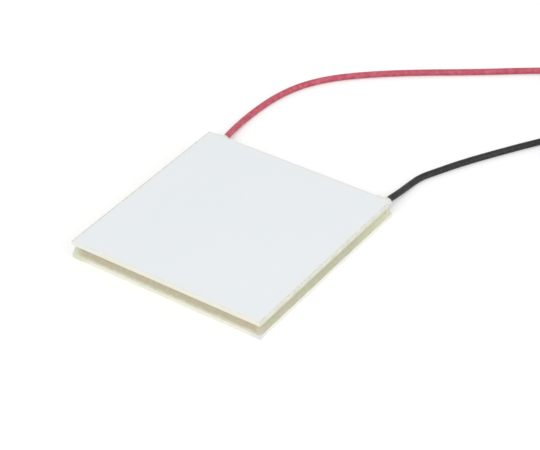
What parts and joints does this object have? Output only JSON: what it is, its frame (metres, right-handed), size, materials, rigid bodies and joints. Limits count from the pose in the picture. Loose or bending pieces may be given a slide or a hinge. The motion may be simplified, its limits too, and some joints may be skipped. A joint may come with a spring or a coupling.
{
  "type": "thermoelectric cooling module",
  "caption": "Square thermoelectric cooler: pellets between two ceramic plates, sealed at the edge, with a red and a black lead.",
  "frame": {"origin": "middle of the hot plate's underside, on the surface the module lies on", "axes": "+Z from the hot plate to the cold plate, +Y towards the edge that the leads leave, the red lead on the -X side"},
  "size_m": [0.0729, 0.1084, 0.0036],
  "materials": {
    "ceramic": "white alumina ceramic, ground, with a faint satin sheen",
    "copper": "bare copper, satin",
    "solder": "grey solder, satin",
    "p_bismuth_telluride": "dull grey semiconductor, sawn",
    "n_bismuth_telluride": "dull grey semiconductor, sawn",
    "sealant": "beige silicone sealant, semi-matt",
    "tinned_copper": "tinned stranded copper, bright",
    "red_insulation": "red PVC insulation, satin",
    "black_insulation": "black PVC insulation, satin",
    "tie": "white plastic-covered twist tie"
  },
  "bodies": {
    "root": {"hot_plate": "ceramic", "cold_plate": "ceramic", "hot_pads": "copper", "cold_pads": "copper", "red_terminal_pad": "copper", "black_terminal_pad": "copper", "hot_solder": "solder", "cold_solder": "solder", "p_pellets": "p_bismuth_telluride", "n_pellets": "n_bismuth_telluride", "perimeter_seal": "sealant", "red_conductor": "tinned_copper", "red_solder_joint": "solder", "red_lead": "red_insulation", "red_lead_coil": "red_insulation", "red_coil_tie": "tie", "red_lead_tail": "red_insulation", "red_lead_tip": "tinned_copper", "black_conductor": "tinned_copper", "black_solder_joint": "solder", "black_lead": "black_insulation", "black_lead_coil": "black_insulation", "black_coil_tie": "tie", "black_lead_tail": "black_insulation", "black_lead_tip": "tinned_copper"}
  },
  "joints": []
}
